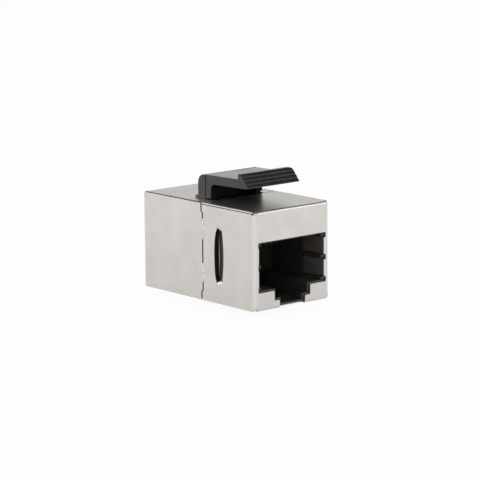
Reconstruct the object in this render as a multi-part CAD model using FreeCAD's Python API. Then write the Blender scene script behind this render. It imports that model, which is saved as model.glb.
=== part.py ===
import FreeCAD, Part
import math
import os

# A shielded feed-through keystone coupler: two modular plug sockets back to back in a folded metal shell,
# with a snap-in latch on top and a fixed lug below. Sizes are in millimetres.
#
# The pieces are drawn with the front face at y = 0, y running back through the body, x centred and z = 0 at
# the shell's underside. Every piece is moved once, at the end, to the part's own frame.

V = FreeCAD.Vector

# Plug port
port_width = 11.8
port_height = 7.0
port_depth = 11.15
front_wall = 1.4
wide_slot_width = 6.25
wide_slot_drop = 1.5
narrow_slot_width = 4.2
channel_width = 6.4
channel_drop = 2.4

# Socket body around the port
side_wall = 1.25
floor_wall = 0.3
roof_height = 4.6
back_wall = 0.8
lintel = 2.05

# Folded shell
sheet = 0.2
fit_gap = 0.05
shield_setback = 0.56
seam_gap = 0.28
seam_jog = 0.3
seam_jog_edge = 1.25
front_upright_round = 0.5
rear_upright_round = 0.6
front_flap_round = 0.12
rear_flap_round = 0.7
butt_gap = 0.12
rear_butt_gap = 0.7
corner_relief = 0.25

# Cut-out in the shell's face
face_side_margin = 0.75
face_margin = 0.25
slot_margin = 0.4
slot_run = 0.8
cutout_corner = 0.2

# Grounding tabs, folded into the port from the sides of the cut-out
notch_height = 0.8
tab_depth = 4.3
tab_round = 0.05
tab_lean = 0.35
tab_clearance = 0.1

# Slit in each side of the front shield: pressed into a long shallow pan, and pierced at the pan's back
slit_height = 8.0
slit_width = 0.78
slit_depth = 8.81
slit_middle = 7.26
slit_bow = 0.12
slit_draw = 0.4
slit_end_flare = 0.8
slit_front_flare = 1.47
slit_back_flare = 0.05
slit_land = 0.1
slit_steps = 4
slit_clearance = 0.15

# Solder runs on the side seam
tack_height = 2.9
tack_spacing = 6.7
tack_middle = 7.52
tack_spread = 0.5
tack_crown = 0.03

# Contact wires and the carrier that holds them
contact_count = 8
contact_pitch = 1.02
wire_width = 0.4
wire_thickness = 0.3
wire_round = 0.2
wire_nose = 0.35
wire_turn = 0.85
spring_drop = 2.15
tail_proud = 0.4
row_spacing = 0.8
row_cover = 0.45
carrier_cover = 0.4
jog_start = 4.0
jog_length = 1.0
carrier_lift = 0.35
carrier_ledge = 0.4
carrier_inset = 1.0
carrier_setback = 0.5
carrier_gap = 0.05
comb_length = 3.5
comb_cover = 0.25
comb_back = 0.8
comb_rib = 0.46
comb_gap = 0.08
spring_end_gap = 1.3
wire_seat = 0.02

# Circuit board between the two sockets
board_thickness = 1.2
board_gap = 0.3
board_margin = 0.65
board_cover = 0.6
board_hole = 0.7

# Fixed lug under the front
lug_width = 6.0
lug_front = 2.83
lug_length = 3.5
lug_drop = 1.2
lug_lip = 0.15
lug_land = 0.6
lug_gap = 0.1

# Latch on top
latch_width = 10.2
leg_setback = 0.61
leg_thickness = 1.2
leg_lift = 0.2
heel_lift = 0.06
leg_strip = 1.2
arm_height = 3.7
arm_thickness = 1.35
arm_rise = 0.2
arm_fillet = 0.9
catch_depth = 6.33
catch_height = 0.8
catch_land = 0.6
crest_round = 0.6
catch_reach = 2.3
tip_chin = 0.8
tip_bevel = 0.15
ridge_count = 4
ridge_height = 0.08
latch_edge = 0.06
foot_width = 9.8
foot_thickness = 0.9
foot_drop = 1.1
foot_root = 0.45
window_drop = 0.25
foot_gap = 0.15
foot_inset = 0.1
bridge_wall = 1.0
bridge_gap = 0.1
notch_gap = 0.2

# Backing post behind the latch
post_gap = 0.1
post_thickness = 1.65
post_round = 1.4
post_pocket = 1.0
flange_reach = 0.65
flange_thickness = 0.35

# Cutters run past the surfaces they cut by this much
overrun = 1.0

# Levels above the shell's underside
housing_bottom = sheet + fit_gap
channel_floor = housing_bottom + floor_wall
port_floor = channel_floor + channel_drop
port_top = port_floor + port_height
housing_top = port_top + roof_height
shell_height = housing_top + fit_gap + sheet
carrier_bottom = port_top + carrier_lift
lower_row = carrier_bottom + row_cover
upper_row = lower_row + row_spacing
carrier_top = upper_row + carrier_cover
nose_bottom = lower_row - wire_turn
spring_bottom = nose_bottom - spring_drop
comb_bottom = spring_bottom - comb_cover
board_top = upper_row + board_cover
bridge_bottom = board_top + board_gap
latch_base = shell_height + leg_lift
latch_heel = shell_height + heel_lift
window_bottom = shell_height - window_drop
arm_top = shell_height + arm_height
arm_bottom = arm_top - arm_thickness
arm_end_top = arm_top + arm_rise
arm_end_bottom = arm_end_top - arm_thickness

# Widths
housing_width = port_width + 2 * side_wall
shell_width = housing_width + 2 * (fit_gap + sheet)
carrier_width = port_width + 2 * carrier_ledge
comb_width = contact_count * contact_pitch + comb_rib
cutout_half = port_width / 2 + face_side_margin
bridge_width = foot_width + 2 * (foot_gap + bridge_wall)
window_width = latch_width - 2 * leg_strip

# Depths behind the front face
housing_front = sheet + fit_gap
port_back = housing_front + port_depth
housing_back = port_back + back_wall
front_shield_depth = housing_back - shield_setback
board_front = housing_back + board_gap
board_back = board_front + board_thickness
shell_length = board_back + board_front
chamber_front = housing_front + lintel
carrier_front = chamber_front + carrier_inset
carrier_back = housing_back - carrier_setback
lug_back = lug_front + lug_length
leg_front = front_shield_depth + seam_gap + leg_setback
leg_back = leg_front + leg_thickness
tip_depth = catch_depth - catch_reach
foot_back = leg_back - foot_inset
foot_front = foot_back - foot_thickness
bridge_front = foot_front - foot_gap - bridge_wall
post_front = leg_back + post_gap
post_back = post_front + post_thickness

# Heights of the two grounding tabs on each side
cutout_bottom = port_floor - face_margin
cutout_top = port_top + face_margin
tab_height = (cutout_top - cutout_bottom - 3 * notch_height) / 2
tab_floors = [cutout_bottom + notch_height, cutout_bottom + 2 * notch_height + tab_height]


def across(x):
    """Upright plane along the body: (y, z) at a given x."""
    return lambda u, v: V(x, u, v)


def level(z):
    """Level plane: (x, y) at a given z."""
    return lambda u, v: V(u, v, z)


def facing(y):
    """Plane parallel to the face: (x, z) at a given y."""
    return lambda u, v: V(u, y, v)


def rounded_face(corners, plane):
    """Face inside corners (u, v, radius), each corner rounded by a tangent arc where it has a radius."""
    starts, ends, arcs = [], [], []
    for i, (u, v, radius) in enumerate(corners):
        here = V(u, v, 0)
        back = (V(*corners[i - 1][:2], 0) - here).normalize()
        ahead = (V(*corners[(i + 1) % len(corners)][:2], 0) - here).normalize()
        half_turn = back.getAngle(ahead) / 2
        reach = radius / math.tan(half_turn)
        starts.append(here + back * reach)
        ends.append(here + ahead * reach)
        inward = (back + ahead).normalize() if radius else V(0, 0, 0)
        arcs.append(here + inward * (radius / math.sin(half_turn) - radius))
    edges = []
    for i, (u, v, radius) in enumerate(corners):
        first, middle, last = (plane(p.x, p.y) for p in (starts[i], arcs[i], ends[i]))
        if radius:
            edges.append(Part.Arc(first, middle, last).toShape())
        after = starts[(i + 1) % len(corners)]
        edges.append(Part.makeLine(last, plane(after.x, after.y)))
    return Part.Face(Part.Wire(edges))


def strip_corners(path, thickness):
    """Outline corners of a bent strip whose middle line runs through the path's (u, v, bend radius)."""
    sides = []
    for offset in (thickness / 2, -thickness / 2):
        side = []
        for i, (u, v, radius) in enumerate(path):
            here = V(u, v, 0)
            before = here - V(*path[max(i - 1, 0)][:2], 0)
            after = V(*path[min(i + 1, len(path) - 1)][:2], 0) - here
            run_in = (before if i else after).normalize()
            run_out = (after if i < len(path) - 1 else before).normalize()
            normal_in = V(-run_in.y, run_in.x, 0)
            normal_out = V(-run_out.y, run_out.x, 0)
            corner = here + (normal_in + normal_out) * (offset / (1 + normal_in.dot(normal_out)))
            turn = math.copysign(1, run_in.cross(run_out).z)
            side.append((corner.x, corner.y, radius - turn * offset if radius else 0))
        sides.append(side)
    return sides[0] + sides[1][::-1]


def box(x0, x1, y0, y1, z0, z1):
    return Part.makeBox(x1 - x0, y1 - y0, z1 - z0, V(x0, y0, z0))


def centred_box(width, y0, y1, z0, z1):
    return box(-width / 2, width / 2, y0, y1, z0, z1)


def both_sides(shapes):
    """The shapes and their mirror images across the body's middle plane."""
    return shapes + [shape.mirror(V(0, 0, 0), V(1, 0, 0)) for shape in shapes]


def side_prism(corners, width):
    """Prism of a side profile (y, z, radius), centred across the body."""
    return rounded_face(corners, across(-width / 2)).extrude(V(width, 0, 0))


def turned(shape):
    """The shape turned end for end about the middle of the body."""
    return shape.rotated(V(0, shell_length / 2, 0), V(0, 0, 1), 180)


def soft_block(width, y0, y1, z0, z1, upright, flap):
    """Block whose front end has rounded upright edges and rounded top and bottom edges."""
    half = width / 2
    plan = [(-half, y0, upright), (half, y0, upright), (half, y1, 0), (-half, y1, 0)]
    upright_prism = rounded_face(plan, level(z0)).extrude(V(0, 0, z1 - z0))
    return upright_prism.common(side_prism([(y0, z0, flap), (y0, z1, flap), (y1, z1, 0), (y1, z0, 0)], width))


def tucked_seam(depth, upright_round, face_gap):
    """Slit through the bottom flap beside the right wall, with a relief behind the face's corner."""
    inside = shell_width / 2 - sheet
    turn = upright_round + sheet
    back = depth + overrun
    plan = [(inside, back, 0), (inside - butt_gap, back, 0), (inside - face_gap, turn, 0),
            (inside - turn, turn, 0), (inside - turn, sheet, 0), (inside, sheet, upright_round)]
    return rounded_face(plan, level(-overrun)).extrude(V(0, 0, overrun + sheet))


def lapped_seam(depth, turn, flap_bend):
    """Slit through the right wall just under the top flap, with a relief hole at the face's corner."""
    side = shell_width / 2
    under = shell_height - sheet
    slit = box(side - turn, side + overrun, flap_bend, depth + overrun, under - butt_gap, under)
    return slit.fuse(box(side - corner_relief, side + overrun, -overrun, turn, under - corner_relief, under))


def folded_shell(depth, upright_round, flap_round, face_gap, lapped):
    """Five-sided sheet box, open at the back, with slit seams along its four long edges.

    The bottom flap is tucked between the side walls. The top flap laps over them or is tucked in too.
    """
    upright_bend = upright_round + sheet
    flap_bend = flap_round + sheet
    outer = soft_block(shell_width, 0, depth, 0, shell_height, upright_bend, flap_bend)
    inner = soft_block(shell_width - 2 * sheet, sheet, depth + overrun, sheet, shell_height - sheet,
                       upright_round, flap_round)
    bottom = tucked_seam(depth, upright_round, face_gap)
    top = bottom.mirror(V(0, 0, shell_height / 2), V(0, 0, 1))
    if lapped:
        top = lapped_seam(depth, upright_bend, flap_bend)
    return outer.cut(inner).cut(both_sides([bottom, top]))


def face_cutout():
    """Stepped opening for the plug and its latch, open through the face's bottom edge."""
    wide = wide_slot_width / 2 + slot_margin
    narrow = narrow_slot_width / 2 + slot_margin
    step = port_floor - wide_slot_drop - face_margin
    r = cutout_corner
    right = [(cutout_half, cutout_top, r), (cutout_half, cutout_bottom, r), (wide, cutout_bottom, r),
             (wide, step, r), (narrow, step, r), (narrow, -overrun, 0)]
    left = [(-x, z, radius) for x, z, radius in reversed(right)]
    return rounded_face(right + left, facing(-overrun)).extrude(V(0, overrun + slot_run, 0))


def grounding_tabs():
    """Tabs bent in from the cut-out's sides, each leaning towards the plug."""
    bend = tab_round + sheet / 2
    root = cutout_half - bend
    path = [(cutout_half, sheet / 2, 0), (root, sheet / 2, bend), (root - tab_lean, tab_depth, 0)]
    tabs = []
    for z in tab_floors:
        tabs.append(rounded_face(strip_corners(path, sheet), level(z)).extrude(V(0, 0, tab_height)))
    return both_sides(tabs)


def slit_outline(x, flare, growth):
    """Oval of the slit at a given x and share of its flare: long bowed sides and round ends, tangent."""
    tall = slit_height / 2 + slit_end_flare * flare + growth
    wide = (slit_width + (slit_front_flare + slit_back_flare) * flare) / 2 + growth
    middle = slit_depth + (slit_back_flare - slit_front_flare) * flare / 2
    end = wide - slit_bow
    side = (wide ** 2 - end ** 2 + (tall - end) ** 2) / (2 * slit_bow)
    meet = math.atan2(tall - end, side - wide)
    joint_y = end * math.cos(meet)
    joint_z = tall - end + end * math.sin(meet)

    def at(y, z):
        return V(x, middle + y, slit_middle + z)

    joints = [at(joint_y, joint_z), at(-joint_y, joint_z), at(-joint_y, -joint_z), at(joint_y, -joint_z)]
    crowns = [at(0, tall), at(-wide, 0), at(0, -tall), at(wide, 0)]
    following = joints[1:] + joints[:1]
    arcs = [Part.Arc(start, crown, end).toShape() for start, crown, end in zip(joints, crowns, following)]
    return Part.Wire(arcs)


def drawn_slit(skin, growth):
    """Solid of the pan that the slit is pressed into, from a skin inwards, steeper as it goes down."""
    sections = []
    for step in range(slit_steps + 1):
        run = step / slit_steps
        sections.append(slit_outline(skin - slit_draw * run ** 2, 1 - run, growth))
    return Part.makeLoft(sections, True, True)


def slit_hole():
    """What is pierced through the pan's floor, behind a narrow land."""
    skin = shell_width / 2
    hole = Part.Face(slit_outline(skin, 0, 0)).extrude(V(-slit_draw - sheet - overrun, 0, 0))
    return hole.cut(box(0, skin + overrun, 0, slit_depth - slit_width / 2 + slit_land, 0, shell_height))


def seam_tongue(depth):
    """Middle of the side walls behind a depth, where the rear shield reaches further forward."""
    low, high = seam_jog_edge, shell_height - seam_jog_edge
    back = depth + seam_jog
    return side_prism([(depth, low + seam_jog, 0), (depth, high - seam_jog, 0), (back, high, 0),
                       (back + overrun, high, 0), (back + overrun, low, 0), (back, low, 0)],
                      shell_width + 2 * overrun)


def front_shield():
    back = front_shield_depth + seam_jog
    shell = folded_shell(back, front_upright_round, front_flap_round, butt_gap, True)
    lug_slot = centred_box(lug_width + 2 * lug_gap, lug_front - lug_gap, back + overrun,
                           -overrun, sheet + overrun)
    shell = shell.cut([face_cutout(), lug_slot, seam_tongue(front_shield_depth)])
    shell = shell.fuse(grounding_tabs() + both_sides([drawn_slit(shell_width / 2 - sheet, sheet)]))
    return shell.cut(both_sides([drawn_slit(shell_width / 2, 0), slit_hole()])).removeSplitter()


def rear_shield():
    seam = front_shield_depth + seam_gap
    shell = folded_shell(shell_length - seam, rear_upright_round, rear_flap_round, rear_butt_gap, False)
    shell = shell.cut(face_cutout()).fuse(grounding_tabs()).removeSplitter()
    notch = centred_box(foot_width + 2 * notch_gap, front_shield_depth, post_back + notch_gap,
                        shell_height - sheet - overrun, shell_height + overrun)
    collar = centred_box(shell_width + overrun, seam - overrun, seam + seam_jog,
                         -overrun, shell_height + overrun)
    return turned(shell).cut([notch, collar.cut(seam_tongue(seam))])


def seam_tacks():
    """Low solder runs that fill the seam and lie a little over both edges."""
    side = shell_width / 2
    middle = front_shield_depth + seam_gap / 2
    crown = Part.Arc(V(side, middle - tack_spread / 2, 0), V(side + tack_crown, middle, 0),
                     V(side, middle + tack_spread / 2, 0)).toShape()
    chord = Part.makeLine(V(side, middle + tack_spread / 2, 0), V(side, middle - tack_spread / 2, 0))
    tacks = []
    for way in (-1, 1):
        low = tack_middle + way * tack_spacing / 2 - tack_height / 2
        run = Part.Face(Part.Wire([crown, chord])).extrude(V(0, 0, tack_height)).translated(V(0, 0, low))
        fill = box(side - sheet, side, front_shield_depth, front_shield_depth + seam_gap,
                   low, low + tack_height)
        tacks.append(run.fuse(fill).removeSplitter())
    return Part.Compound(both_sides(tacks))


def socket_body(upright_round, flap_round):
    """Moulded socket: port with its latch slots, tab grooves, and a chamber for the contact carrier."""
    body = soft_block(housing_width, housing_front, housing_back, housing_bottom, housing_top,
                      upright_round, flap_round)
    mouth = housing_front - overrun
    behind = housing_front + front_wall
    out = housing_back + overrun
    chamber = carrier_width + 2 * carrier_gap
    window = comb_width + 2 * carrier_gap
    step = port_floor - wide_slot_drop
    cuts = [
        centred_box(port_width, mouth, port_back, port_floor, port_top),
        centred_box(wide_slot_width, mouth, behind, step, port_floor),
        centred_box(narrow_slot_width, mouth, behind, channel_floor, step),
        centred_box(channel_width, behind, port_back, channel_floor, port_floor),
        centred_box(chamber, chamber_front, out, carrier_bottom - carrier_gap, carrier_top + carrier_gap),
        centred_box(window, chamber_front, port_back, port_top, carrier_bottom - carrier_gap),
        centred_box(window, port_back, out, comb_bottom - carrier_gap, carrier_bottom - carrier_gap),
    ]
    grooves = [box(port_width / 2, cutout_half + tab_clearance, mouth, tab_depth + tab_clearance,
                   z - tab_clearance, z + tab_height + tab_clearance) for z in tab_floors]
    return body.cut(cuts + both_sides(grooves))


def fixed_lug():
    """Ramped lug that hooks behind the panel's lower edge."""
    return side_prism([(lug_front, channel_floor, 0), (lug_front, -lug_lip, 0),
                       (lug_back - lug_land, -lug_drop, 0), (lug_back, -lug_drop, 0),
                       (lug_back, channel_floor, 0)], lug_width)


def slit_pocket():
    """Space in the body's side that the pressed slit drops into, which locks the shield on."""
    growth = sheet + slit_clearance
    half_height = slit_height / 2 + slit_end_flare + growth
    return box(shell_width / 2 - slit_draw - growth, shell_width / 2,
               slit_depth - slit_width / 2 - slit_front_flare - growth,
               slit_depth + slit_width / 2 + slit_back_flare + growth,
               slit_middle - half_height, slit_middle + half_height)


def front_housing():
    recess = centred_box(bridge_width + 2 * bridge_gap, bridge_front - bridge_gap, housing_back + overrun,
                         bridge_bottom - bridge_gap, housing_top + overrun)
    body = socket_body(front_upright_round, front_flap_round).cut(both_sides([slit_pocket()]) + [recess])
    return body.fuse(fixed_lug()).removeSplitter()


def rear_housing():
    """Socket that faces back, with a bridge over the board that carries the latch and its backing post."""
    body = turned(socket_body(rear_upright_round, rear_flap_round))
    bridge = centred_box(bridge_width, bridge_front, board_back + board_gap, bridge_bottom, housing_top)
    seat = shell_height + fit_gap
    neck = centred_box(foot_width, post_front, post_back, bridge_bottom, seat)
    flange = centred_box(latch_width, post_front, post_back + flange_reach, seat, seat + flange_thickness)
    post = side_prism([(post_front, seat, 0), (post_front, arm_top, 0), (post_back, arm_top, post_round),
                       (post_back, seat, 0)], latch_width)
    pocket = centred_box(foot_width + 2 * foot_gap, foot_front - foot_gap, foot_back + foot_gap,
                         shell_height - foot_drop - foot_gap, seat)
    hollow = centred_box(window_width, post_front, post_front + post_pocket, window_bottom, arm_bottom)
    return body.fuse([bridge, neck, flange, post]).cut([pocket, hollow]).removeSplitter()


def ridged_ramp():
    """Corners up the catch's front slope, from its tip to its crest, with grip ridges across it."""
    foot = V(tip_depth, arm_end_bottom + tip_bevel, 0)
    crest = V(catch_depth - catch_land, arm_end_top + catch_height, 0)
    run = (crest - foot) * (1 / ridge_count)
    out = V(-run.y, run.x, 0).normalize() * ridge_height
    corners = []
    for i in range(ridge_count):
        start = foot + run * i
        edge = start + run / 2 + out
        corners += [(start.x, start.y, 0), (edge.x, edge.y, 0)]
    return corners + [(crest.x, crest.y, 0)]


def crest_corner():
    """What is rounded off the far end of the catch's crest."""
    end = latch_width / 2
    crest = arm_end_top + catch_height
    inset, drop = end - crest_round, crest - crest_round
    corner = box(inset, end + overrun, tip_depth, catch_depth + overrun, drop, crest + overrun)
    return corner.cut(Part.makeCylinder(crest_round, shell_length, V(inset, 0, drop), V(0, 1, 0)))


def latch_clip():
    """Springy arm on two leg straps, with a catch whose ramp lets it snap past the panel's edge."""
    outline = [
        (leg_back, latch_heel, 0), (leg_front, latch_base, 0),
        (leg_front, arm_bottom, arm_fillet), (tip_depth + tip_chin, arm_end_bottom, 0),
    ] + ridged_ramp() + [
        (catch_depth, arm_end_top + catch_height, 0), (catch_depth, arm_end_top, 0), (leg_back, arm_top, 0),
    ]
    arm = side_prism(outline, latch_width)
    rims = [edge for edge in arm.Edges if abs(edge.CenterOfMass.x) > latch_edge]
    arm = arm.makeChamfer(latch_edge, rims)
    foot = centred_box(foot_width, foot_front, foot_back, shell_height - foot_drop, latch_base + foot_root)
    window = centred_box(window_width, leg_front - overrun, leg_back + overrun, window_bottom, arm_bottom)
    return arm.fuse(foot).cut([window, crest_corner()]).removeSplitter()


def contact_x(index):
    """Sideways place of a contact, counted from 1."""
    return (index - (contact_count + 1) / 2) * contact_pitch


def contact_wire(index, growth):
    """One contact: tail through the board, run through the carrier, turn at the nose, and sloping spring."""
    tail = board_back + tail_proud
    bend = wire_round + wire_thickness / 2
    nose_front = chamber_front + wire_nose
    jog_front = carrier_front + jog_start
    spring_end = carrier_back - comb_back - spring_end_gap
    nose = [(nose_front, lower_row, bend), (nose_front, nose_bottom, bend), (spring_end, spring_bottom, 0)]
    if index % 2:
        jog_back = jog_front + jog_length
        tail_run = [(tail, upper_row, 0), (jog_back, upper_row, bend), (jog_front, lower_row, bend)]
    else:
        tail_run = [(tail, lower_row, 0)]
    width = wire_width + 2 * growth
    face = rounded_face(strip_corners(tail_run + nose, wire_thickness + 2 * growth), across(-width / 2))
    return face.extrude(V(width, 0, 0)).translated(V(contact_x(index), 0, 0))


def contact_carrier():
    """Insert that grips the wires, with a comb at the back of the port for their free ends."""
    block = centred_box(carrier_width, carrier_front, carrier_back, carrier_bottom, carrier_top)
    comb_front = carrier_back - comb_length
    comb = centred_box(comb_width, comb_front, carrier_back, comb_bottom, carrier_bottom)
    cuts = []
    for index in range(1, contact_count + 1):
        slot = centred_box(wire_width + 2 * comb_gap, comb_front - overrun, carrier_back - comb_back,
                           comb_bottom - overrun, carrier_bottom)
        cuts.append(slot.translated(V(contact_x(index), 0, 0)))
    wires = [contact_wire(index, wire_seat) for index in range(1, contact_count + 1)]
    return block.fuse(comb.cut(cuts)).removeSplitter().cut(wires)


def circuit_board():
    """Upright board with a plated hole for every contact tail."""
    board = centred_box(housing_width - 2 * board_margin, board_front, board_back,
                        housing_bottom + board_margin, board_top)
    holes = []
    for index in range(1, contact_count + 1):
        for row in (lower_row, upper_row):
            holes.append(Part.makeCylinder(board_hole / 2, board_thickness + 2 * overrun,
                                           V(contact_x(index), board_front - overrun, row), V(0, 1, 0)))
    return board.cut(holes)


def build():
    """Every piece by name, in the drawing frame."""
    carrier = contact_carrier()
    pieces = {
        "front_shield": front_shield(),
        "rear_shield": rear_shield(),
        "seam_tacks": seam_tacks(),
        "front_housing": front_housing(),
        "rear_housing": rear_housing(),
        "latch_clip": latch_clip(),
        "circuit_board": circuit_board(),
        "front_contact_carrier": carrier,
        "rear_contact_carrier": turned(carrier),
    }
    for index in range(1, contact_count + 1):
        wire = contact_wire(index, 0)
        pieces["front_contact_%d" % index] = wire
        pieces["rear_contact_%d" % index] = turned(wire)
    return pieces


os.makedirs("parts", exist_ok=True)
to_part_frame = V(0, -shell_length / 2, lug_drop)
for name, shape in build().items():
    shape.translated(to_part_frame).exportStep("parts/%s.step" % name)
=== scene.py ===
"""Looks of a shielded feed-through keystone coupler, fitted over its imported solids.

Lengths are in metres in the part's own frame: the front socket looks along -Y and +Z is up. Shapes are worked
on in millimetres, and a class with sizes in millimetres says so.
"""
import logging
import math
from collections.abc import Iterable
from dataclasses import dataclass
from enum import Enum

import bmesh
import bpy
from mathutils import Matrix, Vector, noise


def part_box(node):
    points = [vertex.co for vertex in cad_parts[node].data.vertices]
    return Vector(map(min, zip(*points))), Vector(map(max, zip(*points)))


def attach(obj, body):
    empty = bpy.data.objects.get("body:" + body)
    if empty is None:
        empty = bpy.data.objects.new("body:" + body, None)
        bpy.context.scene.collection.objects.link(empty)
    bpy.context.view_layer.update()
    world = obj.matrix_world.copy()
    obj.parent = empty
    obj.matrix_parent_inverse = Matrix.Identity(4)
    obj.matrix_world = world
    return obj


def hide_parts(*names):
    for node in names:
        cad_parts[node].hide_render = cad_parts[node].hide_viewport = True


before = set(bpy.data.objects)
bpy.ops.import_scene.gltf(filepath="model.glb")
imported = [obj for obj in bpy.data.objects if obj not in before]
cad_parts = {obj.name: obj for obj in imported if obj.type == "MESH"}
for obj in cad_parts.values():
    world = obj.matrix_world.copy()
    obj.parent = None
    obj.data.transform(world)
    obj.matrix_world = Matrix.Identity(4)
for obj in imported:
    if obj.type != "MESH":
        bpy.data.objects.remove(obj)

Colour = tuple[float, float, float]
Socket = bpy.types.NodeSocket
Shape = bmesh.types.BMesh
Edge = bmesh.types.BMEdge

MM = 0.001
WHITE: Colour = (1.0, 1.0, 1.0)
log = logging.getLogger("keystone")


class Body(Enum):
    """Rigid bodies of the part."""

    CASE = "body"
    LATCH = "latch"


class Slot(Enum):
    """Material slots of the record that new pieces take."""

    SHIELD = "shield"
    SOLDER = "solder"
    HOUSING = "housing"
    LATCH = "latch"
    CARRIER = "carrier"
    CONTACT = "contact"


class End(Enum):
    """Ends of the part, by the words in their nodes' names."""

    FRONT = "front"
    REAR = "rear"


class Side(Enum):
    """Side walls of the part, by their direction along X."""

    LEFT = -1
    RIGHT = 1


class NodeGraph:
    """Shorthand for filling a material's or a world's node tree."""

    def __init__(self, tree: bpy.types.NodeTree) -> None:
        """Empties the tree and keeps it."""
        self.tree = tree
        tree.nodes.clear()

    def feed(self, socket: Socket, value: object) -> None:
        """Links an output to a socket, or sets the socket's own value.

        Args:
            socket: The input to fill.
            value: An output socket, a number, or a colour or vector.
        """
        if isinstance(value, Socket):
            self.tree.links.new(value, socket)
        elif socket.type == "RGBA" and len(value) == 3:
            socket.default_value = (*value, 1.0)
        else:
            socket.default_value = value

    def add(self, kind: str, **inputs: object) -> bpy.types.Node:
        """Adds a node and fills its inputs.

        Args:
            kind: Blender's name for the node type.
            inputs: Values or sockets by input name, with an underscore for each space.

        Returns:
            The new node.
        """
        node = self.tree.nodes.new(kind)
        for name, value in inputs.items():
            self.feed(node.inputs[name.replace("_", " ")], value)
        return node

    def place(self) -> Socket:
        """Gives the point on the piece, in its own coordinates."""
        return self.add("ShaderNodeTexCoord").outputs["Object"]

    def grain(self, point: Socket, size: float, layers: float) -> Socket:
        """Gives a cloudy pattern with spots of about the given size.

        Args:
            point: Where the pattern is read.
            size: Size of a spot, in metres.
            layers: Number of finer layers.

        Returns:
            A number socket, about 0 to 1.
        """
        return self.add("ShaderNodeTexNoise", Vector=point, Scale=1 / size, Detail=layers).outputs[0]

    def spread(self, value: Socket, low: float, high: float, edge: float = 0.3) -> Socket:
        """Stretches a cloudy pattern over a range.

        Args:
            value: The pattern.
            low: Result where the pattern is lowest.
            high: Result where the pattern is highest.
            edge: Pattern value that counts as lowest, and as far from 1 as the highest.

        Returns:
            A number socket.
        """
        return self.add("ShaderNodeMapRange", Value=value, From_Min=edge, From_Max=1 - edge,
                        To_Min=low, To_Max=high).outputs["Result"]

    def blend(self, factor: Socket, first: object, second: object) -> Socket:
        """Mixes two colours.

        Args:
            factor: Share of the second colour.
            first: Colour or colour socket.
            second: Colour or colour socket.

        Returns:
            A colour socket.
        """
        node = self.tree.nodes.new("ShaderNodeMix")
        node.data_type = "RGBA"
        colours = [socket for socket in node.inputs if socket.type == "RGBA"]
        self.feed(node.inputs[0], factor)
        self.feed(colours[0], first)
        self.feed(colours[1], second)
        return next(socket for socket in node.outputs if socket.type == "RGBA")

    def math(self, operation: str, first: object, second: object = 0.0) -> Socket:
        """Works out one number from others.

        Args:
            operation: Blender's name for the operation.
            first: Number or number socket.
            second: Number or number socket, where the operation takes two.

        Returns:
            A number socket.
        """
        node = self.tree.nodes.new("ShaderNodeMath")
        node.operation = operation
        self.feed(node.inputs[0], first)
        self.feed(node.inputs[1], second)
        return node.outputs[0]

    def relief(self, height: Socket, depth: float, below: Socket | None = None) -> Socket:
        """Gives a bumped normal.

        Args:
            height: The pattern that raises the surface.
            depth: Height of the relief, in metres.
            below: Normal to start from, if any.

        Returns:
            A normal socket.
        """
        node = self.add("ShaderNodeBump", Height=height, Distance=depth)
        if below is not None:
            self.feed(node.inputs["Normal"], below)
        return node.outputs["Normal"]

    def close(self, kind: str, shader: Socket) -> None:
        """Ends the tree with an output node of the given kind."""
        self.feed(self.tree.nodes.new(kind).inputs["Surface"], shader)


class Finish:
    """A surface finish, made once as a node material."""

    name: str

    def shade(self, graph: NodeGraph) -> Socket:
        """Builds the finish's nodes and returns its shader."""
        raise NotImplementedError

    def material(self) -> bpy.types.Material:
        """Gives this finish's material, and makes it on first use.

        Returns:
            The material.
        """
        made = bpy.data.materials.get(self.name)
        if made is None:
            made = bpy.data.materials.new(self.name)
            made.use_nodes = True
            graph = NodeGraph(made.node_tree)
            graph.close("ShaderNodeOutputMaterial", self.shade(graph))
        return made


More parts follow.
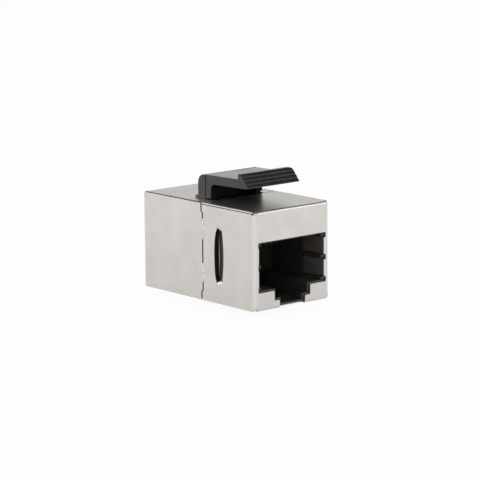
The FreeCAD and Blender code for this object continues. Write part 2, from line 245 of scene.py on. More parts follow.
@dataclass(frozen=True)
class SatinNickel(Finish):
    """Nickel plate on rolled sheet: faintly cloudy, finely grained, a little wavy, light at bends.

    The light at bends is a painted highlight. In the middle of an upright bend the X and Y parts of the
    normal are both the root of a half, so the highlight's gain times their product is 1 there.
    """

    name: str = "satin_nickel"
    dull: Colour = (0.62, 0.60, 0.565)
    clean: Colour = (0.70, 0.68, 0.645)
    # Tone of the grit specks, and of the painted highlight at bends.
    grit_and_bend_highlight: Colour = (0.785, 0.765, 0.73)
    glancing: Colour = (0.96, 0.96, 0.96)
    cloud: float = 3.2 * MM
    cloud_layers: float = 5.0
    spot: float = 0.45 * MM
    spot_layers: float = 4.0
    spot_share: float = 0.3
    grit: float = 0.1 * MM
    grit_layers: float = 2.0
    grit_share: float = 0.1
    grit_edge: float = 0.45
    grit_depth: float = 0.0003 * MM
    wave: float = 5.0 * MM
    wave_layers: float = 1.0
    wave_depth: float = 0.012 * MM
    bend_highlight_gain: float = 2.0
    smoothest: float = 0.3
    roughest: float = 0.37

    def shade(self, graph: NodeGraph) -> Socket:
        """Builds the plate's nodes.

        Args:
            graph: The tree to fill.

        Returns:
            The shader.
        """
        point = graph.place()
        clouds = graph.grain(point, self.cloud, self.cloud_layers)
        spots = graph.grain(point, self.spot, self.spot_layers)
        grit = graph.grain(point, self.grit, self.grit_layers)
        tone = graph.blend(graph.spread(clouds, 0.0, 1.0), self.dull, self.clean)
        tone = graph.blend(graph.spread(spots, 0.0, self.spot_share), tone, self.dull)
        tone = graph.blend(graph.spread(grit, 0.0, self.grit_share, self.grit_edge), tone, self.grit_and_bend_highlight)
        # Painted highlight: the upright bends are lightened.
        tone = graph.blend(self._bend_highlight_mask(graph), tone, self.grit_and_bend_highlight)
        waves = graph.relief(graph.grain(point, self.wave, self.wave_layers), self.wave_depth)
        shader = graph.add("ShaderNodeBsdfPrincipled", Base_Color=tone, Metallic=1.0,
                           Normal=graph.relief(grit, self.grit_depth, waves), Specular_Tint=self.glancing,
                           Roughness=graph.spread(spots, self.smoothest, self.roughest))
        return shader.outputs["BSDF"]

    def _bend_highlight_mask(self, graph: NodeGraph) -> Socket:
        """Finds how far the sheet turns an upright corner, where the painted highlight goes.

        Args:
            graph: The tree to add to.

        Returns:
            A number socket: 0 on the flat walls, 1 in the middle of a bend.
        """
        facing = graph.add("ShaderNodeTexCoord").outputs["Normal"]
        axes = graph.add("ShaderNodeSeparateXYZ", Vector=facing)
        product = graph.math("MULTIPLY", axes.outputs["X"], axes.outputs["Y"])
        return graph.math("MULTIPLY", graph.math("ABSOLUTE", product), self.bend_highlight_gain)


@dataclass(frozen=True)
class BlackMoulding(Finish):
    """Black moulded plastic with a fine spark-eroded texture."""

    name: str
    deep: Colour = (0.007, 0.007, 0.0075)
    worn: Colour = (0.013, 0.013, 0.0135)
    mottle: float = 1.6 * MM
    mottle_layers: float = 4.0
    texture: float = 0.09 * MM
    texture_layers: float = 2.0
    texture_depth: float = 0.0015 * MM
    smoothest: float = 0.2
    roughest: float = 0.28
    gloss: float = 0.68

    def shade(self, graph: NodeGraph) -> Socket:
        """Builds the plastic's nodes.

        Args:
            graph: The tree to fill.

        Returns:
            The shader.
        """
        point = graph.place()
        mottle = graph.grain(point, self.mottle, self.mottle_layers)
        texture = graph.grain(point, self.texture, self.texture_layers)
        tone = graph.blend(graph.spread(mottle, 0.0, 1.0), self.deep, self.worn)
        shader = graph.add("ShaderNodeBsdfPrincipled", Base_Color=tone,
                           Roughness=graph.spread(mottle, self.smoothest, self.roughest),
                           Specular_IOR_Level=self.gloss, Normal=graph.relief(texture, self.texture_depth))
        return shader.outputs["BSDF"]


@dataclass(frozen=True)
class PlatedWire(Finish):
    """Bright plated metal with a faint tarnish."""

    name: str
    bright: Colour
    dull: Colour
    tarnish: float = 0.6 * MM
    tarnish_layers: float = 4.0
    lump: float = 0.35 * MM
    lump_layers: float = 1.0
    lump_depth: float = 0.01 * MM
    smoothest: float = 0.18
    roughest: float = 0.34

    def shade(self, graph: NodeGraph) -> Socket:
        """Builds the metal's nodes.

        Args:
            graph: The tree to fill.

        Returns:
            The shader.
        """
        point = graph.place()
        tarnish = graph.grain(point, self.tarnish, self.tarnish_layers)
        tone = graph.blend(graph.spread(tarnish, 0.0, 1.0), self.bright, self.dull)
        lumps = graph.relief(graph.grain(point, self.lump, self.lump_layers), self.lump_depth)
        shader = graph.add("ShaderNodeBsdfPrincipled", Base_Color=tone, Metallic=1.0, Normal=lumps,
                           Roughness=graph.spread(tarnish, self.smoothest, self.roughest))
        return shader.outputs["BSDF"]


@dataclass(frozen=True)
class BoardResist(Finish):
    """Green solder resist over glass laminate, with the weave just showing."""

    name: str = "board_resist"
    deep: Colour = (0.010, 0.085, 0.035)
    light: Colour = (0.025, 0.16, 0.07)
    weave: float = 0.45 * MM
    weave_depth: float = 0.006 * MM
    unevenness: float = 0.4
    roughness: float = 0.32

    def shade(self, graph: NodeGraph) -> Socket:
        """Builds the resist's nodes.

        Args:
            graph: The tree to fill.

        Returns:
            The shader.
        """
        point = graph.place()
        warp, weft = (graph.add("ShaderNodeTexWave", Vector=point, Scale=1 / self.weave,
                                Distortion=self.unevenness) for _ in range(2))
        weft.bands_direction = "Z"
        cross = graph.math("MULTIPLY", warp.outputs["Fac"], weft.outputs["Fac"])
        tone = graph.blend(cross, self.deep, self.light)
        shader = graph.add("ShaderNodeBsdfPrincipled", Base_Color=tone, Roughness=self.roughness,
                           Normal=graph.relief(cross, self.weave_depth))
        return shader.outputs["BSDF"]


NICKEL = SatinNickel()
# Inside the sheets: rougher, with a darker colour that is painted shade.
SHADED_INNER_NICKEL = SatinNickel("inner_nickel_painted_shade", dull=(0.36, 0.345, 0.32), clean=(0.44, 0.425, 0.395),
                           grit_and_bend_highlight=(0.48, 0.465, 0.435), smoothest=0.42, roughest=0.5)
# Slit flanks: a dark colour that is painted shade in the drawn recess.
SHADED_FLANK_NICKEL = SatinNickel("painted_shade_flank_nickel", dull=(0.06, 0.058, 0.055), clean=(0.08, 0.078, 0.074),
                               grit_and_bend_highlight=(0.1, 0.098, 0.094), smoothest=0.36, roughest=0.46)
# Sheared cuts and seam edges: a duller tone of their own, darkened much further as painted shade.
SHADED_SHEARED_EDGE = SatinNickel("sheared_edge_painted_shade", dull=(0.05, 0.047, 0.042), clean=(0.09, 0.085, 0.077),
                           grit_and_bend_highlight=(0.12, 0.115, 0.105), smoothest=0.5, roughest=0.6)
LATCH_PLASTIC = BlackMoulding("latch_moulding_black")
SOCKET_PLASTIC = BlackMoulding("socket_moulding_black", deep=(0.018, 0.0178, 0.017),
                               worn=(0.028, 0.0277, 0.0265), smoothest=0.36, roughest=0.48, gloss=0.35)
# Socket ledges that look up: a paler colour that is painted light from above.
LIT_LEDGE_PLASTIC = BlackMoulding("worn_moulding_black", deep=(0.05, 0.049, 0.047), worn=(0.08, 0.079, 0.076),
                             smoothest=0.4, roughest=0.5, gloss=0.4)
# Under the latch's arm and in the post's pocket: matt, with a darker colour that is painted shade.
SHADED_MATT_PLASTIC = BlackMoulding("painted_shade_moulding_black", deep=(0.004, 0.004, 0.004), worn=(0.007, 0.007, 0.007),
                             smoothest=0.55, roughest=0.65, gloss=0.1)
GOLD = PlatedWire("gold_plate", bright=(0.83, 0.61, 0.26), dull=(0.62, 0.42, 0.16))
SOLDER = PlatedWire("solder_alloy", bright=(0.80, 0.79, 0.77), dull=(0.60, 0.59, 0.57),
                    smoothest=0.1, roughest=0.22)
RESIST = BoardResist()


@dataclass(frozen=True)
class Region:
    """Faces of a piece that have another finish: those in a box, or those of them that look one way."""

    finish: Finish
    low: Vector
    high: Vector
    facing: Vector | None = None
    least_facing: float = 0.5

    def holds(self, face: bpy.types.MeshPolygon) -> bool:
        """Says whether a face lies in the box and looks the right way."""
        inside = all(low < value < high for low, value, high in zip(self.low, face.center, self.high))
        return inside and (self.facing is None or face.normal.dot(self.facing) > self.least_facing)

    def apply(self, mesh: bpy.types.Mesh) -> None:
        """Gives the region's faces their finish.

        Args:
            mesh: A mesh that has its main finish already.
        """
        mesh.materials.append(self.finish.material())
        for face in mesh.polygons:
            if self.holds(face):
                face.material_index = len(mesh.materials) - 1


def share_of(part: float, whole: float) -> float:
    """Gives a part's share of a whole, held between 0 and 1."""
    return min(max(part / whole, 0), 1)


def seat(mesh: bpy.types.Mesh, body: Body, finish: Finish) -> bpy.types.Object:
    """Puts a mesh in the scene as a piece of the part.

    Args:
        mesh: The piece's mesh, in place.
        body: The body that it moves with.
        finish: Its finish.

    Returns:
        The new object.
    """
    mesh.materials.clear()
    mesh.materials.append(finish.material())
    piece = bpy.data.objects.new(mesh.name, mesh)
    bpy.context.scene.collection.objects.link(piece)
    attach(piece, body.value)
    log.info("%s rides on %s", piece.name, body.value)
    return piece


def dress(node: str, finish: Finish) -> None:
    """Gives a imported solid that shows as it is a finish.

    Args:
        node: The solid's name.
        finish: Its finish.
    """
    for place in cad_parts[node].material_slots:
        place.material = finish.material()
    log.info("%s keeps its packed shape", node)


@dataclass
class SoftenedPiece:
    """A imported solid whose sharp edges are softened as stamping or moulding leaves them.

    Points closer than weld, in millimetres, are one point.
    """

    node: str
    name: str
    body: Body
    slot: Slot
    finish: Finish
    edge: float = 0.0
    segments: int = 2
    regions: tuple[Region, ...] = ()
    weld: float = 0.001
    flat_angle: float = math.radians(0.5)
    sharp_angle: float = math.radians(35)
    crease_angle: float = math.pi

    def _packed_shape(self) -> Shape:
        """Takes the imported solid, with its triangles merged into flat faces.

        Returns:
            The shape, in millimetres.
        """
        shape = bmesh.new()
        shape.from_mesh(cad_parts[self.node].data)
        bmesh.ops.scale(shape, vec=Vector((1, 1, 1)) / MM, verts=shape.verts)
        bmesh.ops.remove_doubles(shape, verts=shape.verts, dist=self.weld)
        bmesh.ops.dissolve_limit(shape, angle_limit=self.flat_angle, verts=shape.verts, edges=shape.edges)
        return shape

    def _reshape(self, shape: Shape) -> None:
        """Leaves the shape, in millimetres, as it was packed."""

    def _sharp(self, edges: Iterable[Edge]) -> list[Edge]:
        """Picks the sharp ones out of some edges."""
        return [edge for edge in edges if edge.calc_face_angle(0.0) > self.sharp_angle]

    def _round(self, shape: Shape, edges: list[Edge], width: float, held_apart: bool) -> None:
        """Rounds some edges of the shape.

        Args:
            shape: The shape, in millimetres.
            edges: The edges to round.
            width: Width of the rounding, in millimetres.
            held_apart: Whether all the roundings shrink so that none meet.
        """
        bmesh.ops.bevel(shape, geom=edges, offset=width, affect="EDGES", segments=self.segments,
                        profile=0.5, material=-1, clamp_overlap=held_apart)

    def _soften(self, shape: Shape) -> None:
        """Rounds the sharp edges, or keeps them as hard lines where they get no width, and creases valleys.

        Args:
            shape: The shape, in millimetres.
        """
        sharp = self._sharp(shape.edges)
        if self.edge > 0:
            self._round(shape, sharp, self.edge / MM, held_apart=True)
        else:
            for edge in sharp:
                edge.smooth = False
        for edge in shape.edges:
            if edge.calc_face_angle(0.0) > self.crease_angle and not edge.is_convex:
                edge.smooth = False

    def build(self) -> bpy.types.Object:
        """Makes the piece, seats it on its body and dresses it.

        Returns:
            The new object.
        """
        shape = self._packed_shape()
        self._reshape(shape)
        self._soften(shape)
        bmesh.ops.scale(shape, vec=Vector((1, 1, 1)) * MM, verts=shape.verts)
        for face in shape.faces:
            face.smooth = True
        mesh = bpy.data.meshes.new(self.name)
        shape.to_mesh(mesh)
        shape.free()
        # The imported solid's own normals don't fit the new shape.
        if "custom_normal" in mesh.attributes:
            mesh.attributes.remove(mesh.attributes["custom_normal"])
        piece = seat(mesh, self.body, self.finish)
        for region in self.regions:
            region.apply(mesh)
        piece.modifiers.new("flat_faces", "WEIGHTED_NORMAL").keep_sharp = True
        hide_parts(self.node)
        return piece


@dataclass(frozen=True)
class Slit:
    """Sizes of the slit in each side wall of the front sheet: a slope that leads in to a lens-shaped gap.

    Lengths are in millimetres. Places along Y are measured from the row, ahead to the front and back to the
    rear. Places along Z are shares of half the gap's height, from its middle.

    Attributes:
        row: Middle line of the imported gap, along Y.
        level: Middle of the gap, along Z.
        height: Height of the gap.
        lengths: Number of lengths that its edges are cut into, so that they can curve.
        reach: How far up and down the slit's points go.
        end_fade: How far from the gap's ends the slope fades out.
        lip_end: How far ahead the slope starts.
        lip_edge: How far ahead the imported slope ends, at its lip.
        lip_moved: How far back the slope and its lip move.
        lip_turn: How far out the lip turns.
        lip_share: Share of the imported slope's depth from which a point is on the lip.
        lip_angle: Angle from which an edge at the slit is a hard line.
        gap_back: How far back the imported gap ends.
        gap_reach: How far back the slit's points go.
        gap_moved: How far ahead the gap's back edge moves.
        packed_draw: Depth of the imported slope.
        draw: Depth of the slope as it is drawn here.
        pinch: How far each half of the pinch closes the gap's back edge at its ends.
        pinch_power: How late the second half of the pinch sets in.
        lean: How much more the back edge closes at the top, and less at the bottom.
        lens: How far the slope's start moves back from its middle to its ends.
        widening: How far the slope's start moves ahead in the middle.
    """

    row: float = -4.29
    level: float = 8.46
    height: float = 8.0
    lengths: int = 12
    reach: float = 1.4
    end_fade: float = 0.1
    lip_end: float = 2.0
    lip_edge: float = 0.29
    lip_moved: float = 0.1
    lip_turn: float = 0.006
    lip_share: float = 0.95
    lip_angle: float = math.radians(8)
    gap_back: float = 0.42
    gap_reach: float = 0.63
    gap_moved: float = 0.13
    packed_draw: float = 0.4
    draw: float = 0.54
    pinch: float = 0.28
    pinch_power: int = 4
    lean: float = 0.12
    lens: float = 0.4
    widening: float = 0.22


@dataclass
class FoldedSheet(SoftenedPiece):
    """A piece folded from sheet of the given thickness, in millimetres."""

    sheet: float = 0.2


@dataclass
class FrontSheet(FoldedSheet):
    """The front sheet, with rounded box corners, and slits whose front lips are drawn to a straight slope.

    Its own sizes are in millimetres.
    """

    corner: float = 0.55
    corner_reach: float = 0.8
    corner_cuts: int = 2
    slit: Slit = Slit()

    def _reshape(self, shape: Shape) -> None:
        """Rounds the corners of the box and draws the slits' lips.

        Args:
            shape: The shape, in millimetres.
        """
        wall = (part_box(self.node)[1] / MM).x
        self._round_corners(shape)
        self._cut_levels(shape, wall)
        shape.normal_update()
        for vertex in shape.verts:
            if self._at_slit(vertex.co, wall):
                self._draw_lip(vertex, wall)
        shape.normal_update()
        for edge in shape.edges:
            at_lip = all(self._at_slit(vertex.co, wall) for vertex in edge.verts)
            if at_lip and edge.calc_face_angle(0.0) > self.slit.lip_angle:
                edge.smooth = False

    def _round_corners(self, shape: Shape) -> None:
        """Draws in what stands out of the box's ball corners.

        Args:
            shape: The shape, in millimetres.
        """
        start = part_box("front_shield")[0] / MM
        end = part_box("rear_shield")[1] / MM
        middle = (start + end) / 2
        core = (end - start) / 2 - Vector((self.corner,) * 3)
        close = core + Vector((self.corner - self.corner_reach,) * 3)
        for axis in range(3):
            for side in (-1, 1):
                across = Vector((0, 0, 0))
                across[axis] = side
                bmesh.ops.bisect_plane(shape, geom=[*shape.verts, *shape.edges, *shape.faces],
                                       plane_co=middle + across * close[axis], plane_no=across)

        def at_corner(point: Vector) -> bool:
            """Says whether a point is close to a corner of the box."""
            return all(abs(value) > least - self.weld for value, least in zip(point - middle, close))

        edges = [edge for edge in shape.edges if all(at_corner(vertex.co) for vertex in edge.verts)]
        bmesh.ops.subdivide_edges(shape, edges=edges, cuts=self.corner_cuts)
        for vertex in shape.verts:
            offset = vertex.co - middle
            beyond = Vector(max(abs(value) - most, 0) for value, most in zip(offset, core))
            if min(beyond) > 0 and beyond.length > self.corner:
                drawn = beyond * (self.corner / beyond.length)
                vertex.co = middle + Vector(
                    math.copysign(most + part, value) for most, part, value in zip(core, drawn, offset))

    def _at_slit(self, point: Vector, wall: float) -> bool:
        """Says whether a point is at a slit's edge.

        Args:
            point: The point.
            wall: How far the side walls stand from the middle.

        Returns:
            Whether it is there.
        """
        slit = self.slit
        level = abs(2 * (point.z - slit.level) / slit.height)
        inset = wall - abs(point.x)
        return (level < slit.reach and inset < self.sheet + slit.draw + self.weld
                and -slit.gap_reach < slit.row - point.y < slit.lip_end)

    def _cut_levels(self, shape: Shape, wall: float) -> None:
        """Cuts the edges of the slits into short lengths, so that they can curve.

        Args:
            shape: The shape, in millimetres.
            wall: How far the side walls stand from the middle.
        """
        upwards = Vector((0, 0, 1))
        for step in range(1, self.slit.lengths):
            level = self.slit.level + self.slit.height * (step / self.slit.lengths - 0.5)
            faces = [face for face in shape.faces
                     if all(self._at_slit(vertex.co, wall) for vertex in face.verts)]
            parts = {part for face in faces for part in (face, *face.edges, *face.verts)}
            bmesh.ops.bisect_plane(shape, geom=list(parts), plane_co=upwards * level, plane_no=upwards)

    def _draw_lip(self, vertex: bmesh.types.BMVert, wall: float) -> None:
        """Moves a point of a slit's edge: the lip slopes straight in, and the back edge closes to the ends.

        Args:
            vertex: A point at a slit, with its normal.
            wall: How far the side walls stand from the middle.
        """
        slit = self.slit
        side = math.copysign(1, vertex.co.x)
        ahead = slit.row - vertex.co.y
        height = 2 * (vertex.co.z - slit.level) / slit.height
        level = abs(height)
        straight = share_of(1 - level, slit.end_fade)
        sunk = share_of(1 + slit.end_fade / 2 - level, slit.end_fade)
        layer = 0.0 if vertex.normal.x * side > 0 else self.sheet
        share = share_of(wall - abs(vertex.co.x) - layer, slit.packed_draw)
        depth = sunk * (straight * math.sqrt(share) * slit.draw + (1 - straight) * share * slit.packed_draw)
        if share > slit.lip_share and 0 < ahead < slit.lip_edge + slit.lip_turn:
            depth -= straight * slit.lip_turn
        vertex.co.x += side * (share * slit.packed_draw - depth)
        at_lip = share_of(ahead + slit.gap_back, slit.lip_edge + slit.gap_back)
        curve = min(level, 1) ** 2
        closed = slit.gap_moved + curve * (
            slit.pinch + slit.lean * height + slit.pinch * curve ** slit.pinch_power)
        up_slope = max(ahead - slit.lip_edge, 0) / (slit.lip_end - slit.lip_edge)
        vertex.co.y += (straight * slit.lip_moved * at_lip - closed * (1 - at_lip)
                        + (slit.lens * curve - slit.widening) * up_slope)


@dataclass
class RearSheet(FoldedSheet):
    """The rear sheet, with rounded free edges, and flaps that reach out to its bends.

    Its own sizes are in millimetres.
    """

    segments: int = 3
    bend: float = 0.6
    flap_nearest: float = 0.85
    flap_furthest: float = 1.05
    relief: float = 0.1
    free_edge: float = 0.1
    free_length: float = 5.0

    def _reshape(self, shape: Shape) -> None:
        """Closes the wide reliefs and rounds the free edges.

        Args:
            shape: The shape, in millimetres.
        """
        low, high = (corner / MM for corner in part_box(self.node))
        for vertex in shape.verts:
            self._close_relief(vertex, low, high)
        free = [edge for edge in shape.edges
                if abs(edge.verts[0].co.y - edge.verts[1].co.y) > self.free_length
                and all(high.x - abs(vertex.co.x) < self.weld for vertex in edge.verts)]
        self._round(shape, self._sharp(free), self.free_edge, held_apart=False)

    def _close_relief(self, vertex: bmesh.types.BMVert, low: Vector, high: Vector) -> None:
        """Widens the end of a flap towards the bend beside it.

        Args:
            vertex: A point of the shape.
            low: Lowest corner of the sheet's box.
            high: Highest corner of the sheet's box.
        """
        out = high.y - self.bend - self.sheet - vertex.co.y
        layer = min(high.z - vertex.co.z, vertex.co.z - low.z)
        aside = high.x - abs(vertex.co.x)
        at_end = self.flap_nearest < aside < self.flap_furthest
        if at_end and layer <= self.sheet + self.weld and -self.bend < out < self.bend:
            turned = self.bend - math.sqrt(self.bend ** 2 - min(out, 0) ** 2)
            vertex.co.x = math.copysign(high.x - self.sheet - self.relief - turned, vertex.co.x)


@dataclass
class Shell:
    """Folded nickel sheets and the solder that joins them."""

    side_margin: float = 0.7 * MM
    skin: float = 0.15 * MM
    edge_turn: float = math.cos(math.radians(30))
    flank_depth: float = 0.75 * MM
    flank_skin: float = 0.01 * MM
    flank_share: float = 0.93
    bead_proud: float = 0.06 * MM
    bead_width: float = 0.8 * MM
    bead_lump: float = 0.4 * MM
    bead_unevenness: float = 0.55
    bead_rings: int = 32
    level_digits: int = 2

    def build(self) -> None:
        """Makes both sheets and every bead."""
        FrontSheet("front_shield", "front_shield_sheet", Body.CASE, Slot.SHIELD, NICKEL,
                   regions=self._front_regions()).build()
        RearSheet("rear_shield", "rear_shield_sheet", Body.CASE, Slot.SHIELD, NICKEL,
                  regions=self._rear_regions()).build()
        dress("seam_tacks", SOLDER)
        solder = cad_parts["seam_tacks"].data.vertices
        levels = sorted({round(vertex.co.z / MM, self.level_digits) * MM for vertex in solder})
        runs = {"lower": (levels[0], levels[1]), "upper": (levels[-2], levels[-1])}
        for side in Side:
            for place, run in runs.items():
                self._bead(f"solder_bead_{side.name.lower()}_{place}", side, run)

    def _lining(self, end: End) -> Region:
        """Gives the rougher finish inside a sheet, darker in colour as painted shade.

        Args:
            end: The sheet's end of the part.

        Returns:
            The region.
        """
        low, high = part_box(f"{end.value}_shield")
        margin = Vector((self.side_margin, self.skin, self.skin))
        return Region(SHADED_INNER_NICKEL, low + margin, high - margin)

    def _front_regions(self) -> tuple[Region, ...]:
        """Gives the front sheet's other finishes, all darkened as painted shade: its inside, its sheared cuts
        and the flanks of its slits.

        Returns:
            The regions.
        """
        low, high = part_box("front_shield")
        lining = self._lining(End.FRONT)
        # Painted shade: cuts and walls inside that look to the front are darkened.
        shaded_cuts = Region(SHADED_SHEARED_EDGE, Vector((low.x, (low.y + high.y) / 2, low.z)), lining.high,
                         Vector((0, -1, 0)))
        return lining, shaded_cuts, *(self._flank(side, high.x) for side in Side)

    def _rear_regions(self) -> tuple[Region, ...]:
        """Gives the rear sheet's other finishes, both darkened as painted shade: its inside, and the sheared
        edges that its seams show.

        Returns:
            The regions.
        """
        low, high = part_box("rear_shield")
        # Painted shade: the rounded edges along the seams are darkened.
        shaded_seams = (Region(SHADED_SHEARED_EDGE, low, high, Vector((x, 0, z)).normalized(), self.edge_turn)
                 for x in (-1, 1) for z in (-1, 1))
        return self._lining(End.REAR), *shaded_seams

    def _flank(self, side: Side, wall: float) -> Region:
        """Gives the drawn flank of a slit a dark colour, which is painted shade.

        Args:
            side: The slit's side of the part.
            wall: How far the side walls stand from the middle.

        Returns:
            The region.
        """
        slit = FrontSheet.slit
        across = sorted((side.value * (wall - self.flank_skin), side.value * (wall - self.flank_depth)))
        along = ((slit.row - slit.lip_end) * MM, (slit.row - slit.lip_edge) * MM)
        middle, reach = slit.level * MM, self.flank_share * slit.height / 2 * MM
        upright = (middle - reach, middle + reach)
        low, high = (Vector(corner) for corner in zip(across, along, upright))
        # Painted shade: the flank is darkened.
        return Region(SHADED_FLANK_NICKEL, low, high, Vector((side.value, 0, 0)))

    def _bead(self, name: str, side: Side, run: tuple[float, float]) -> None:
        """Makes one lumpy bead over a run of solder.

        Args:
            name: The piece's name.
            side: The bead's side of the part.
            run: Lowest and highest level of the run.
        """
        low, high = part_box("seam_tacks")
        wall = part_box("front_shield")[1].x
        middle = Vector((side.value * wall, (low.y + high.y) / 2, sum(run) / 2))
        reach = Vector((self.bead_proud, self.bead_width / 2, (run[1] - run[0]) / 2))
        shape = bmesh.new()
        bmesh.ops.create_uvsphere(shape, u_segments=self.bead_rings, v_segments=self.bead_rings, radius=1.0)
        for vertex in shape.verts:
            point = Vector(value * most for value, most in zip(vertex.co, reach))
            spot = Vector((0, point.y, point.z)) + middle
            vertex.co = point * (1 + self.bead_unevenness * noise.noise(spot / self.bead_lump))
        bmesh.ops.translate(shape, vec=middle, verts=shape.verts)
        for face in shape.faces:
            face.smooth = True
        mesh = bpy.data.meshes.new(name)
        shape.to_mesh(mesh)
        shape.free()
        seat(mesh, Body.CASE, SOLDER)


@dataclass
class SocketMoulding(SoftenedPiece):
    """A moulded socket body, with a rounder edge round its mouth.

    Points closer than flush, in millimetres, to the end face lie on it.
    """

    mouth_edge: float = 0.13 * MM
    flush: float = 0.01

    def _reshape(self, shape: Shape) -> None:
        """Rounds the edges of the end face, which is the one furthest from the part's middle.

        Args:
            shape: The shape, in millimetres.
        """
        end = max((vertex.co.y for vertex in shape.verts), key=abs)
        mouth = [edge for edge in shape.edges
                 if all(abs(vertex.co.y - end) < self.flush for vertex in edge.verts)]
        self._round(shape, self._sharp(mouth), self.mouth_edge / MM, held_apart=False)


@dataclass
class Socketry:
    """Moulded socket bodies with their carriers, spring wires and board.

    The rear body's edges get no width and stay hard lines, because its short edges leave a rounding no room.
    """

    front_edge: float = 0.06 * MM
    rear_edge: float = 0.0
    carrier_edge: float = 0.04 * MM
    wire_edge: float = 0.08 * MM
    ledge_turn: float = math.cos(math.radians(40))
    mouth_depth: float = 0.3 * MM
    post_room: float = 1.0 * MM
    pocket_side: float = 0.5 * MM
    pocket_depth: float = 1.2 * MM
    pocket_roof: float = 0.7 * MM

    def build(self) -> None:
        """Makes the mouldings and the wires, and dresses the board."""
        for end, edge in ((End.FRONT, self.front_edge), (End.REAR, self.rear_edge)):
            word = end.value
            SocketMoulding(f"{word}_housing", f"{word}_socket_moulding", Body.CASE, Slot.HOUSING,
                           SOCKET_PLASTIC, edge, regions=self._regions(end)).build()
            SoftenedPiece(f"{word}_contact_carrier", f"{word}_carrier_moulding", Body.CASE, Slot.CARRIER,
                          SOCKET_PLASTIC, self.carrier_edge).build()
            contacts = [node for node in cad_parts
                        if node.startswith(f"{word}_contact_") and node[-1].isdigit()]
            for index in range(1, len(contacts) + 1):
                SoftenedPiece(f"{word}_contact_{index}", f"{word}_spring_wire_{index}", Body.CASE,
                              Slot.CONTACT, GOLD, self.wire_edge).build()
        dress("circuit_board", RESIST)

    def _regions(self, end: End) -> tuple[Region, ...]:
        """Gives a socket body's other finishes.

        The ledges of its mouth are paler, as painted light from above. The rear body's post is polished,
        and matt and darker in its pocket, where the darker colour is painted shade.

        Args:
            end: The socket body's end of the part.

        Returns:
            The regions.
        """
        low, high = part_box(f"{end.value}_housing")
        if end is End.FRONT:
            mouth_end = Vector((high.x, low.y + self.mouth_depth, high.z))
            return (self._ledges(low, mouth_end, -1),)
        mouth_start = Vector((low.x, high.y - self.mouth_depth, low.z))
        latch_low, latch_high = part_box("latch_clip")
        shell_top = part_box("rear_shield")[1].z
        polished = Region(LATCH_PLASTIC, Vector((low.x, low.y, shell_top)),
                          high + Vector((0, 0, self.post_room)))
        # Painted shade: the pocket under the latch is darker.
        shaded_pocket = Region(SHADED_MATT_PLASTIC, Vector((latch_low.x + self.pocket_side, low.y, latch_low.z)),
                        Vector((latch_high.x - self.pocket_side, latch_high.y + self.pocket_depth,
                                high.z - self.pocket_roof)))
        return self._ledges(mouth_start, high, 1), polished, shaded_pocket

    def _ledges(self, low: Vector, high: Vector, outward: int) -> Region:
        """Gives the paler finish of the ledges in a socket's mouth, which look up and out: painted light."""
        return Region(LIT_LEDGE_PLASTIC, low, high, Vector((0, outward, 1)).normalized(), self.ledge_turn)


@dataclass
class Latch:
    """Snap-in latch moulding, polished outside, and matt and darker round its window, as painted shade."""

    moulded_edge: float = 0.04 * MM
    segments: int = 3
    skin: float = 0.03 * MM
    leg_reach: float = 1.9 * MM
    arm_level: float = 2.2 * MM
    ridge_angle: float = math.radians(24)

    def build(self) -> None:
        """Makes the latch."""
        low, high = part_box("latch_clip")
        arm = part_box("rear_shield")[1].z + self.arm_level
        # Painted shade: round the window under the arm the latch is darker.
        shaded_window = Region(SHADED_MATT_PLASTIC, Vector((low.x + self.skin, high.y - self.leg_reach, low.z - self.skin)),
                        Vector((high.x - self.skin, high.y + self.skin, arm)))
        SoftenedPiece("latch_clip", "latch_moulding", Body.LATCH, Slot.LATCH, LATCH_PLASTIC,
                      self.moulded_edge, self.segments, (shaded_window,), crease_angle=self.ridge_angle).build()


@dataclass(frozen=True)
class Lamp:
    """A soft square lamp that looks at the part."""

    name: str
    place: Vector
    width: float
    brightness: float

    def build(self, target: Vector) -> None:
        """Hangs the lamp.

        Args:
            target: The point that it looks at.
        """
        light = bpy.data.lights.new(self.name, "AREA")
        light.size = self.width
        light.energy = self.brightness * math.pi * self.width ** 2
        lamp = bpy.data.objects.new(self.name, light)
        lamp.location = self.place
        lamp.rotation_euler = (target - self.place).to_track_quat("-Z", "Y").to_euler()
        lamp.visible_camera = False
        bpy.context.scene.collection.objects.link(lamp)


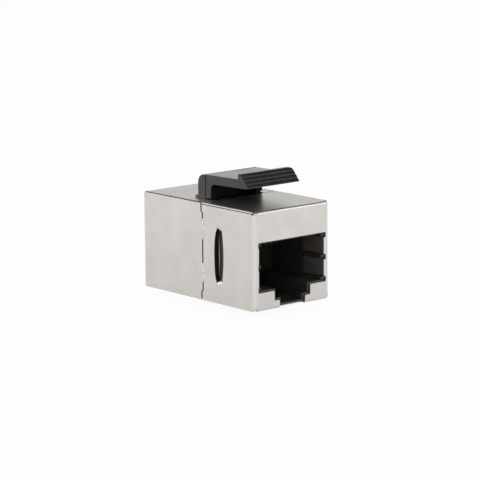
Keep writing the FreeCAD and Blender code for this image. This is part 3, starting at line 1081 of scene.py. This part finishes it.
@dataclass
class Studio:
    """Pale floor, white surroundings and soft lamps."""

    floor_width: float = 4.0
    floor_colour: Colour = (0.97, 0.97, 0.97)
    floor_white: float = 0.94
    floor_mirrored: float = 0.4
    room_light: float = 0.66
    ceiling_tone: float = 0.16
    white_height: float = 0.22
    ceiling_height: float = 0.6
    lamps: tuple[Lamp, ...] = (
        Lamp("key_lamp", Vector((-0.24, -0.2, 0.24)), 0.2, 1.6),
        Lamp("right_lamp", Vector((0.3, -0.3, 0.14)), 0.28, 1.2),
        Lamp("left_lamp", Vector((-0.27, 0.33, 0.13)), 0.26, 1.2),
    )

    def build(self, target: Vector) -> None:
        """Makes the floor, the surroundings and the lamps.

        Args:
            target: The point that the lamps look at.
        """
        self._surround()
        self._floor()
        for lamp in self.lamps:
            lamp.build(target)

    @staticmethod
    def _seen(graph: NodeGraph, straight: float, mirrored: float) -> Socket:
        """Gives a share to the rays that show the background, and none to those that light the part.

        Args:
            graph: The tree to add to.
            straight: Share for rays to the camera.
            mirrored: Share for rays in gloss and through glass.

        Returns:
            A number socket.
        """
        path = graph.add("ShaderNodeLightPath")
        through = graph.math("MAXIMUM", path.outputs["Is Glossy Ray"], path.outputs["Is Transmission Ray"])
        seen = graph.math("MULTIPLY", path.outputs["Is Camera Ray"], straight)
        return graph.math("MAXIMUM", seen, graph.math("MULTIPLY", through, mirrored))

    def _surround(self) -> None:
        """Makes surroundings that light the part plainly, and look white below and grey overhead."""
        world = bpy.data.worlds.new("white_room")
        world.use_nodes = True
        bpy.context.scene.world = world
        graph = NodeGraph(world.node_tree)
        way = graph.add("ShaderNodeTexCoord").outputs["Generated"]
        height = graph.add("ShaderNodeSeparateXYZ", Vector=way).outputs["Z"]
        overhead = graph.add("ShaderNodeMapRange", Value=height, From_Min=self.white_height,
                             From_Max=self.ceiling_height)
        overhead.interpolation_type = "SMOOTHSTEP"
        looks = graph.blend(overhead.outputs["Result"], WHITE, (self.ceiling_tone,) * 3)
        seen = self._seen(graph, straight=1.0, mirrored=1.0)
        colour = graph.blend(seen, (self.room_light,) * 3, looks)
        graph.close("ShaderNodeOutputWorld", graph.add("ShaderNodeBackground", Color=colour).outputs[0])

    def _floor(self) -> None:
        """Makes a pale floor that keeps the part's soft shadow."""
        shape = bmesh.new()
        bmesh.ops.create_grid(shape, x_segments=1, y_segments=1, size=self.floor_width / 2)
        mesh = bpy.data.meshes.new("floor")
        shape.to_mesh(mesh)
        shape.free()
        material = bpy.data.materials.new("pale_floor")
        material.use_nodes = True
        graph = NodeGraph(material.node_tree)
        glow = self._seen(graph, self.floor_white, self.floor_mirrored)
        paint = graph.add("ShaderNodeBsdfDiffuse", Color=self.floor_colour)
        white = graph.add("ShaderNodeEmission", Color=WHITE)
        mixed = graph.add("ShaderNodeMixShader", Fac=glow)
        graph.feed(mixed.inputs[1], paint.outputs[0])
        graph.feed(mixed.inputs[2], white.outputs[0])
        graph.close("ShaderNodeOutputMaterial", mixed.outputs[0])
        mesh.materials.append(material)
        floor = bpy.data.objects.new("floor", mesh)
        bpy.context.scene.collection.objects.link(floor)


@dataclass(frozen=True)
class PhotoCamera:
    """Camera at the photograph's viewing angle, for a square frame."""

    azimuth: float = math.radians(-40.45)
    elevation: float = math.radians(10.93)
    roll: float = math.radians(-0.47)
    distance: float = 365.9 * MM
    nearest: float = 3.659 * MM
    focal_px: float = 2417.0
    frame_px: float = 480.0
    target_px: tuple[float, float] = (234.8, 243.73)
    sensor_mm: float = 36.0

    def build(self, target: Vector) -> None:
        """Places the camera.

        Args:
            target: The middle of the shell, which shows at target_px.
        """
        turn, lift = self.azimuth, self.elevation
        back = Vector((math.sin(turn) * math.cos(lift), -math.cos(turn) * math.cos(lift), math.sin(lift)))
        level = Vector((math.cos(turn), math.sin(turn), 0))
        upright = back.cross(level)
        right = level * math.cos(self.roll) + upright * math.sin(self.roll)
        up = upright * math.cos(self.roll) - level * math.sin(self.roll)
        across_px, down_px = (place - self.frame_px / 2 for place in self.target_px)
        aside = (right * across_px - up * down_px) * (self.distance / self.focal_px)
        eye = target + back * self.distance - aside
        data = bpy.data.cameras.new("photo_camera")
        data.sensor_width = self.sensor_mm
        data.lens = self.focal_px / self.frame_px * self.sensor_mm
        data.clip_start = self.nearest
        camera = bpy.data.objects.new("photo_camera", data)
        axes = Matrix((right, up, back)).transposed().to_4x4()
        camera.matrix_world = Matrix.Translation(eye) @ axes
        bpy.context.scene.collection.objects.link(camera)
        bpy.context.scene.camera = camera


def main() -> None:
    """Builds the part's pieces, the studio and the camera."""
    logging.basicConfig(level=logging.INFO, format="%(message)s")
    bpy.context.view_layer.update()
    Shell().build()
    Socketry().build()
    Latch().build()
    low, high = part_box("front_shield")
    target = Vector((0, 0, (low.z + high.z) / 2))
    Studio().build(target)
    PhotoCamera().build(target)
    bpy.context.scene.view_settings.view_transform = "Standard"


if __name__ == "__main__":
    main()
